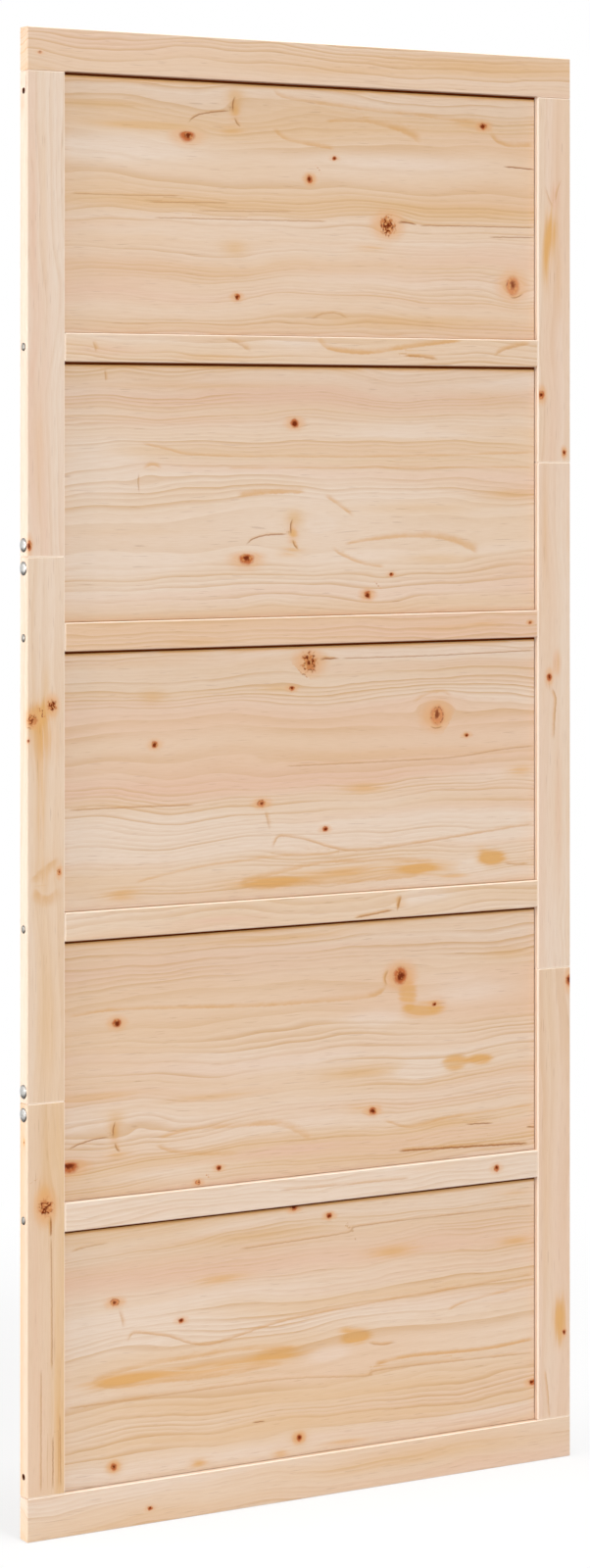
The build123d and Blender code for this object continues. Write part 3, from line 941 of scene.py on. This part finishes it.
class Nodes:
    """Short words for laying out a material's node tree."""

    def __init__(self, tree):
        self.tree = tree
        tree.nodes.clear()

    def add(self, kind, inputs=None, **settings):
        """A new node with its settings made and its inputs fed."""
        node = self.tree.nodes.new(kind)
        for name, value in settings.items():
            setattr(node, name, value)
        for key, value in (inputs or {}).items():
            self.feed(node.inputs[key], value)
        return node

    def feed(self, socket, value):
        """Links a socket to another one, or sets it to a plain value."""
        if isinstance(value, bpy.types.NodeSocket):
            self.tree.links.new(value, socket)
        else:
            socket.default_value = value

    def attribute(self, name):
        """The three parts of a vector attribute."""
        vector = self.add("ShaderNodeAttribute", attribute_name=name).outputs["Vector"]
        return self.add("ShaderNodeSeparateXYZ", {"Vector": vector}).outputs[:]

    def number(self, name):
        """The value of a number attribute."""
        return self.add("ShaderNodeAttribute", attribute_name=name).outputs["Fac"]

    def calc(self, operation, *values):
        """One step of arithmetic."""
        node = self.add("ShaderNodeMath", operation=operation)
        for socket, value in zip(node.inputs, values):
            self.feed(socket, value)
        return node.outputs[0]

    def span(self, first, second):
        """Length of a pair of offsets."""
        return self.calc("SQRT", self.plus(self.times(first, first), self.times(second, second)))

    def plus(self, first, second):
        """Sum of two values."""
        return self.calc("ADD", first, second)

    def minus(self, first, second):
        """First value less the second."""
        return self.calc("SUBTRACT", first, second)

    def times(self, first, *others):
        """Product of two or more values."""
        for other in others:
            first = self.calc("MULTIPLY", first, other)
        return first

    def own_place(self):
        """X, Y and Z of the object itself."""
        place = self.add("ShaderNodeTexCoord").outputs["Object"]
        return self.add("ShaderNodeSeparateXYZ", {"Vector": place}).outputs[:]

    def noise(self, *place, detail=2.0):
        """Noise at a place of three parts, each a length with its scale per metre, or a fixed number."""
        parts = [self.times(*part) if isinstance(part, tuple) else part for part in place]
        vector = self.add("ShaderNodeCombineXYZ", dict(zip("XYZ", parts))).outputs[0]
        return self.add("ShaderNodeTexNoise",
                        {"Vector": vector, "Scale": 1.0, "Detail": detail}).outputs["Fac"]

    def swing(self, *place, detail=2.0):
        """Noise that swings about 0."""
        return self.minus(self.noise(*place, detail=detail), 0.5)

    def fade(self, value, start, end, low=0.0, high=1.0):
        """Low before start and high after end, smooth in between; start may lie after end."""
        return self.add("ShaderNodeMapRange", {"Value": value, "From Min": start, "From Max": end,
                                               "To Min": low, "To Max": high},
                        interpolation_type="SMOOTHSTEP").outputs["Result"]

    def blend(self, share, first, second):
        """One colour over another."""
        node = self.add("ShaderNodeMix", data_type="RGBA")
        self.feed(node.inputs[0], share)
        for socket, value in ((node.inputs[6], first), (node.inputs[7], second)):
            self.feed(socket, value if isinstance(value, bpy.types.NodeSocket) else (*value, 1.0))
        return node.outputs[2]


def new_material(name):
    """An empty material, and the words for its nodes."""
    material = bpy.data.materials.new(name)
    material.use_nodes = True
    return material, Nodes(material.node_tree)


def pine_material(pine):
    """Pine cut from a log: rings round the heart, bent round knots, with bands, fibres and resin marks."""
    material, n = new_material("pine")
    along, across, behind = n.attribute("grain")
    amber, rose, resin = n.attribute("tint")
    knot_along, knot_across, knot_reach = n.attribute("knot")
    knot_radius, knot_dark, knot_halo = n.attribute("knot_look")
    streak_beside, streak_ends, streak_dark = n.attribute("streak")

    # Slow sway of the whole log and a finer ripple
    sway = n.swing((along, 4.2), (across, 8), (behind, 8), detail=1.0)
    ripple = n.swing((along, 16), (across, 55), (behind, 55), detail=1.0)
    bent = n.plus(across, n.plus(n.times(sway, 0.045), n.times(ripple, 0.006)))

    # Growth rings: distance from the heart in ring widths, unevenly spaced
    out = n.span(bent, behind)
    uneven = n.noise((out, 40), 3.7, 0.0, detail=1.0)
    rings = n.plus(n.times(out, 1 / pine.ring_width), n.times(uneven, 2.2))
    phase = n.calc("FRACT", rings)
    vigour = n.add("ShaderNodeTexWhiteNoise", {"W": n.calc("FLOOR", rings)},
                   noise_dimensions="1D").outputs["Value"]
    late = n.times(n.calc("POWER", n.fade(phase, 0.0, 0.92), 1.2), n.fade(phase, 1.0, 0.94))
    patch = n.fade(n.noise((along, 3.1), (bent, 22), 8.3, detail=1.0), 0.3, 0.65, 0.25, 1.0)
    late = n.times(late, n.fade(vigour, 0.0, 1.0, 0.15, 1.0), patch, n.number("lines"))

    # Broad bands of warmer and pinker wood that follow the rings
    warm_band = n.swing((along, 0.9), (out, 34), 1.7)
    rose_band = n.noise((along, 0.8), (out, 24), 5.1)
    warmth = n.plus(amber, n.times(warm_band, 1.8))
    wood = n.blend(warmth, pine.pale, pine.amber)
    wood = n.blend(n.plus(rose, n.fade(rose_band, 0.45, 0.72, 0.0, 0.6)), wood, pine.rose)

    # Stains, whose weaker parts break into tongues along the grain.
    # The resin stain also carries the painted shade along the top of each panel, under the rail.
    tongues = n.noise((along, 11), (bent, 210), (behind, 90), detail=1.0)
    stain = n.times(resin, n.fade(n.plus(tongues, n.times(resin, 0.25)), 0.44, 0.68, 0.45, 1.15))
    wood = n.blend(stain, wood, pine.resin)
    wood = n.blend(n.times(late, 0.6), wood, pine.late)

    # Fibres and short dark resin canals along the grain
    fibre = n.noise((along, 38), (across, 1100), (behind, 1100))
    canal = n.fade(n.noise((along, 26), (across, 620), (behind, 620), detail=1.0), 0.66, 0.76)
    wood = n.blend(n.fade(fibre, 0.35, 0.75, 0.0, 0.16), wood, pine.late)
    wood = n.blend(n.times(canal, 0.22), wood, pine.check)

    # Knots: warm halo, orange body, and an off-centre dark heart that breaks up where the knot is cracked
    x, y, z = n.own_place()
    waver = n.swing((x, 160), (y, 60), (z, 160))
    mottle = n.swing((x, 210), (y, 90), (z, 210))
    coil = n.swing((x, 110), (y, 50), (z, 110), detail=1.0)
    wobble = n.calc("DIVIDE", n.times(waver, 0.004), knot_radius)
    edge = n.plus(n.span(knot_along, knot_across), wobble)
    present = n.fade(knot_reach, 0.05, 0.3)
    live = n.fade(knot_dark, 0.5, 0.3)
    cracked = n.fade(knot_dark, 1.0, 1.4)
    flare = n.plus(n.span(n.times(knot_along, 0.7), knot_across), wobble)
    wood = n.blend(n.times(n.fade(flare, 2.7, 0.8), knot_halo, present, 0.85), wood, pine.halo)
    ragged = n.plus(edge, n.times(mottle, cracked, 2.0))
    body = n.times(n.fade(ragged, 1.45, 0.75), n.fade(knot_dark, -0.3, 0.35), present)
    knot_wood = n.blend(live, pine.knot_red, pine.knot_pink)
    resinous = n.plus(n.fade(mottle, 0.02, 0.14, 0.0, 0.5), n.times(cracked, 0.3))
    knot_wood = n.blend(resinous, knot_wood, pine.resin)
    lean_along = n.times(n.swing((along, 25), (across, 25), 4.4, detail=0.0), 0.7)
    lean_across = n.times(n.swing((along, 25), (across, 25), 9.1, detail=0.0), 0.7)
    to_heart = n.span(n.plus(knot_along, lean_along), n.plus(knot_across, lean_across))
    heart_size = n.minus(n.fade(knot_dark, 0.1, 1.0, 0.36, 0.62), n.times(cracked, 0.4))
    heart = n.fade(n.plus(n.minus(to_heart, heart_size), n.times(mottle, 0.8)), 0.25, -0.2)
    loops = n.times(n.fade(n.calc("ABSOLUTE", coil), 0.06, 0.02), n.fade(ragged, 1.2, 0.9), cracked)
    heart = n.calc("MAXIMUM", heart, loops)
    rim = n.times(n.fade(n.calc("ABSOLUTE", n.minus(edge, 0.95)), 0.16, 0.02), n.fade(waver, 0.02, -0.1),
                  live, 0.8)
    core = n.blend(n.times(live, 0.15), pine.knot_core, pine.knot_red)
    knot_wood = n.blend(n.calc("MAXIMUM", heart, rim), knot_wood, core)
    wood = n.blend(body, wood, knot_wood)

    # Thin checks, and warm lines of resin that end sharply below and softly above
    within = n.fade(streak_ends, 0.0, 1.0)
    aside = n.plus(streak_beside, n.times(waver, 1.2))
    flow = n.fade(n.noise((along, 22), (across, 60), (behind, 30)), 0.35, 0.6, 0.55, 1.0)
    warm_line = n.times(n.fade(aside, 3.4, 0.0), n.fade(aside, -1.2, -0.1), within, flow,
                        n.number("streak_warm"), 1.3)
    wood = n.blend(warm_line, wood, pine.warm_line)
    check = n.times(n.fade(n.calc("ABSOLUTE", aside), 1.2, 0.1), within, streak_dark)
    wood = n.blend(check, wood, pine.check)

    # Painted highlight: paler eased edges
    wood = n.blend(n.number("worn"), wood, pine.worn)

    # Painted shade in the grooves, gaps and holes, with no sheen
    dust = n.number("dust")
    wood = n.blend(n.times(dust, 0.98), wood, pine.dust)
    sheen = n.fade(dust, 0.0, 1.0, 0.05, 0.0)

    # Planed surface: harder late wood and knots stand a little proud, fibres run along it
    relief = n.plus(n.times(late, 0.5), n.plus(n.times(fibre, 0.35), n.times(body, 0.6)))
    relief = n.minus(relief, n.times(n.calc("MAXIMUM", check, canal), 0.5))
    bump = n.add("ShaderNodeBump", {"Height": relief, "Strength": 0.3, "Distance": 0.0003}).outputs[0]
    gloss = n.minus(n.fade(fibre, 0.3, 0.7, 0.5, 0.4), n.times(n.calc("MAXIMUM", body, stain), 0.1))
    shader = n.add("ShaderNodeBsdfPrincipled", {"Base Color": wood, "Roughness": gloss, "Normal": bump,
                                                "Specular IOR Level": sheen})
    n.add("ShaderNodeOutputMaterial", {"Surface": shader.outputs[0]})
    return material


def steel_material(name, bright, tarnish, grime, roughness):
    """Plated steel with turned scratches, a dull film, and painted shade round the head's rim and lower half.
    """
    material, n = new_material(name)
    x, y, z = n.own_place()
    film = n.fade(n.noise((x, 300), (y, 300), (z, 300), detail=3.0), 0.45, 0.75, 0.0, 0.6)
    scratch = n.noise((x, 900), (y, 4200), (z, 900))
    # The head's rim and lower half take painted shade
    metal = n.blend(n.times(n.number("grime"), 0.9), n.blend(film, bright, tarnish), grime)
    dull = n.plus(n.fade(scratch, 0.3, 0.7, roughness, roughness + 0.14), n.times(film, 0.2))
    bump = n.add("ShaderNodeBump", {"Height": scratch, "Strength": 0.15, "Distance": 0.0001}).outputs[0]
    shader = n.add("ShaderNodeBsdfPrincipled", {"Base Color": metal, "Roughness": dull, "Normal": bump,
                                                "Metallic": 1.0})
    n.add("ShaderNodeOutputMaterial", {"Surface": shader.outputs[0]})
    return material


def shared_pine(scene):
    """The pine of all boards, made once."""
    return bpy.data.materials.get("pine") or pine_material(scene.door_pine)


def frame_board(scene, node, run_axis, **cuts):
    """One frame board in its node's box, with its figure."""
    low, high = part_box(node)
    points, faces = carried_board(low, high, run_axis, scene.door_boards, **cuts)
    piece = new_piece(f"{node}_board", points, faces, shared_pine(scene))
    lay_figure(piece, FIGURES[node], run_axis, low.y)
    over_gap = run_axis == X and node != "bottom_rail"
    lay_recess_shade(piece, (X, Y, Z), arris=scene.door_boards.arris if over_gap else 0.0)
    lay_arris_highlight(piece, run_axis, scene.door_boards.arris)
    put_on(node, piece)


class DOOR_OT_end_rails(bpy.types.Operator):
    """Lays the full-width rails at the top and bottom of the door"""

    bl_idname = "door.end_rails"
    bl_label = "End rails"

    def execute(self, context):
        sizes = context.scene.door_boards
        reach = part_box("left_stile_upper")[1].x - sizes.groove_depth
        for node, grooved in (("top_rail", -1), ("bottom_rail", 1)):
            frame_board(context.scene, node, X, grooved=(grooved,), groove_ends=(reach, -reach))
        return {"FINISHED"}


class DOOR_OT_cross_rails(bpy.types.Operator):
    """Lays the four rails between the panels"""

    bl_idname = "door.cross_rails"
    bl_label = "Cross rails"

    def execute(self, context):
        for node in named("cross_rail_"):
            frame_board(context.scene, node, X, grooved=(-1, 1))
        return {"FINISHED"}


class DOOR_OT_stiles(bpy.types.Operator):
    """Stands the jointed stiles, with the holes of their bolts, screws and pegs"""

    bl_idname = "door.stiles"
    bl_label = "Stiles"

    def execute(self, context):
        sizes, fittings = context.scene.door_boards, context.scene.door_fittings
        for hand, side in (("left", -1), ("right", 1)):
            segments = [f"{hand}_stile_{part}" for part in ("upper", "middle", "lower")]
            top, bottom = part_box(segments[0])[1].z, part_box(segments[-1])[0].z
            holes = [(height, sizes.peg_radius, sizes.peg_depth)
                     for height in (top - sizes.peg_from_end, bottom + sizes.peg_from_end)]
            for kind, shank in (("bolt", fittings.bolt_shank), ("rail_screw", fittings.screw_shank)):
                for node in named(f"{hand}_{kind}_"):
                    low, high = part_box(node)
                    deepest = (high.x - low.x) if kind == "bolt" else fittings.screw_hole_depth
                    holes.append(((low.z + high.z) / 2, shank + fittings.hole_clearance, deepest))
            for node in segments:
                low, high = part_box(node)
                own = [hole for hole in holes if low.z < hole[0] < high.z]
                frame_board(context.scene, node, Z, grooved=(-side,), drilled=side, holes=own)
        return {"FINISHED"}


class DOOR_OT_panels(bpy.types.Operator):
    """Sets the recessed panels into the frame"""

    bl_idname = "door.panels"
    bl_label = "Panels"

    def execute(self, context):
        scene = context.scene
        sizes = scene.door_boards
        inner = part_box("right_stile_upper")[0].x
        nodes = named("panel_")
        rails = ["top_rail", *named("cross_rail_"), "bottom_rail"]
        for node, above, below in zip(nodes, rails, rails[1:]):
            low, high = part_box(node)
            field_low = Vector((sizes.side_gap - inner, low.y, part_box(below)[1].z + sizes.bottom_gap))
            field_high = Vector((inner - sizes.side_gap, high.y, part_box(above)[0].z - sizes.top_gap))
            points, faces = lifted_panel(low, high, field_low, field_high, sizes)
            piece = new_piece(f"{node}_board", points, faces, shared_pine(scene))
            lay_figure(piece, FIGURES[node], X, low.y)
            lay_recess_shade(piece, (Y,), tight=field_low.z + sizes.groove_depth)
            put_on(node, piece)
        return {"FINISHED"}


class DOOR_OT_fittings(bpy.types.Operator):
    """Drives the domed bolts and screws into the door's long edges"""

    bl_idname = "door.fittings"
    bl_label = "Bolts and screws"

    def execute(self, context):
        steel = context.scene.door_fittings
        tarnish_and_shade = steel.tarnish_colour, steel.head_shade_colour
        bolt = steel_material("bolt_steel", steel.bolt_colour, *tarnish_and_shade, steel.bolt_roughness)
        screw = steel_material("screw_steel", steel.screw_colour, *tarnish_and_shade, steel.screw_roughness)
        for hand, side in (("left", -1), ("right", 1)):
            stile_low, stile_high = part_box(f"{hand}_stile_upper")
            edge = stile_high.x if side > 0 else stile_low.x
            for kind, material, rim, shank in (("bolt", bolt, steel.bolt_rim, steel.bolt_shank),
                                               ("rail_screw", screw, steel.screw_rim, steel.screw_shank)):
                for node in named(f"{hand}_{kind}_"):
                    points, faces = turned_fitting(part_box(node), side, edge, rim, shank)
                    piece = new_piece(f"{node}_turned", points, faces, material)
                    lay_head_shade(piece)
                    put_on(node, piece)
        return {"FINISHED"}


class DOOR_OT_stage(bpy.types.Operator):
    """Sets the floor, lights, world and camera"""

    bl_idname = "door.stage"
    bl_label = "Stage"

    def execute(self, context):
        scene = context.scene
        stage = scene.door_stage
        low, high = CAD_BOX
        middle = (low + high) / 2
        lay_floor(stage, low.z)
        for name, (place, size) in LIGHTS.items():
            soft_light(f"{name}_light", Vector(place), middle, size, getattr(stage, f"{name}_power"))
        lay_world(scene, stage.ambient)
        set_camera(scene)
        scene.view_settings.view_transform = "Standard"
        return {"FINISHED"}


def named(start):
    """CAD nodes whose names are the start and a number, in order."""
    numbers = sorted(int(name[len(start):]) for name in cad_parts
                     if name.startswith(start) and name[len(start):].isdigit())
    return [f"{start}{number}" for number in numbers]


def soft_light(name, place, target, size, power):
    """A soft box at a place, turned towards a target."""
    lamp = bpy.data.lights.new(name, "AREA")
    lamp.shape = "RECTANGLE"
    lamp.size, lamp.size_y = size
    lamp.energy = power
    light = bpy.data.objects.new(name, lamp)
    light.location = place
    light.rotation_euler = (target - place).to_track_quat("-Z", "Y").to_euler()
    bpy.context.scene.collection.objects.link(light)


def seen_directly(n):
    """1 for rays that show the background itself: from the camera, in gloss and through glass."""
    path = n.add("ShaderNodeLightPath").outputs
    straight = n.calc("MAXIMUM", path["Is Camera Ray"], path["Is Glossy Ray"])
    return n.calc("MAXIMUM", straight, path["Is Transmission Ray"])


def lay_floor(stage, level):
    """A pale level floor on a square grid, white where it is seen and lit like any floor where it is not."""
    lines = np.linspace(-stage.floor_size / 2, stage.floor_size / 2, FLOOR_LINES)
    across, away = np.meshgrid(lines, lines)
    points = np.stack((across, away, np.full_like(across, level - FLOOR_DROP)), axis=-1).reshape(-1, 3)
    material, n = new_material("floor")
    x, y, z = n.own_place()
    grain = n.noise((x, 2), (y, 2), (z, 2))
    tone = n.blend(n.fade(grain, 0.3, 0.7, 0.0, 0.15), stage.floor_colour, stage.floor_shade)
    lit = n.add("ShaderNodeBsdfDiffuse", {"Color": tone}).outputs[0]
    white = n.add("ShaderNodeEmission", {"Color": (1, 1, 1, 1), "Strength": 1.0}).outputs[0]
    share = n.times(seen_directly(n), n.fade(n.span(x, y), 0.7, 2.2, 0.7, 1.0))
    mix = n.add("ShaderNodeMixShader", {0: share, 1: lit, 2: white}).outputs[0]
    n.add("ShaderNodeOutputMaterial", {"Surface": mix})
    floor = new_piece("floor", points, grid_quads(across.shape).tolist(), material)


def lay_world(scene, ambient):
    """A white background to look at, and a plain weak light from all round."""
    world = bpy.data.worlds.new("studio")
    world.use_nodes = True
    n = Nodes(world.node_tree)
    light = n.add("ShaderNodeBackground", {"Color": (1, 1, 1, 1), "Strength": ambient}).outputs[0]
    white = n.add("ShaderNodeBackground", {"Color": (1, 1, 1, 1), "Strength": 1.0}).outputs[0]
    mix = n.add("ShaderNodeMixShader", {0: seen_directly(n), 1: light, 2: white}).outputs[0]
    n.add("ShaderNodeOutputWorld", {"Surface": mix})
    scene.world = world


def set_camera(scene):
    """A level camera at the eye, shifted so that the horizon falls on its row."""
    lens = bpy.data.cameras.new("camera")
    lens.sensor_fit = "VERTICAL"
    lens.sensor_height = SENSOR_HEIGHT
    lens.lens = SENSOR_HEIGHT * FOCAL_PIXELS / PICTURE_HEIGHT
    lens.shift_y = (HORIZON_ROW - PICTURE_HEIGHT / 2) / PICTURE_HEIGHT
    camera = bpy.data.objects.new("camera", lens)
    camera.location = EYE
    camera.rotation_euler = (math.pi / 2, 0, -VIEW_TURN)
    scene.collection.objects.link(camera)
    scene.camera = camera


class DOOR_PT_panel(bpy.types.Panel):
    """Lists the door's settings and the steps that build it"""

    bl_idname = "DOOR_PT_panel"
    bl_label = "Barn door"
    bl_space_type = "VIEW_3D"
    bl_region_type = "UI"
    bl_category = "Barn door"

    def draw(self, context):
        for operator in OPERATORS:
            self.layout.operator(operator.bl_idname)
        for group in SETTINGS:
            settings = getattr(context.scene, group)
            box = self.layout.box()
            for name in settings.__annotations__:
                box.prop(settings, name)


OPERATORS = (DOOR_OT_end_rails, DOOR_OT_cross_rails, DOOR_OT_stiles, DOOR_OT_panels, DOOR_OT_fittings,
             DOOR_OT_stage)
SETTINGS = {"door_boards": BoardSettings, "door_fittings": FittingSettings, "door_pine": PineSettings,
            "door_stage": StageSettings}


def register():
    """Makes the classes known to Blender and gives each scene its settings."""
    for kind in (*SETTINGS.values(), *OPERATORS, DOOR_PT_panel):
        bpy.utils.register_class(kind)
    for name, group in SETTINGS.items():
        setattr(bpy.types.Scene, name, PointerProperty(type=group))


def unregister():
    """Undoes what register did."""
    for name in SETTINGS:
        delattr(bpy.types.Scene, name)
    for kind in (DOOR_PT_panel, *reversed(OPERATORS), *SETTINGS.values()):
        bpy.utils.unregister_class(kind)


def main():
    """Builds the dressed door step by step."""
    register()
    bpy.ops.door.end_rails()
    bpy.ops.door.cross_rails()
    bpy.ops.door.stiles()
    bpy.ops.door.panels()
    bpy.ops.door.fittings()
    bpy.ops.door.stage()


if __name__ == "__main__":
    main()
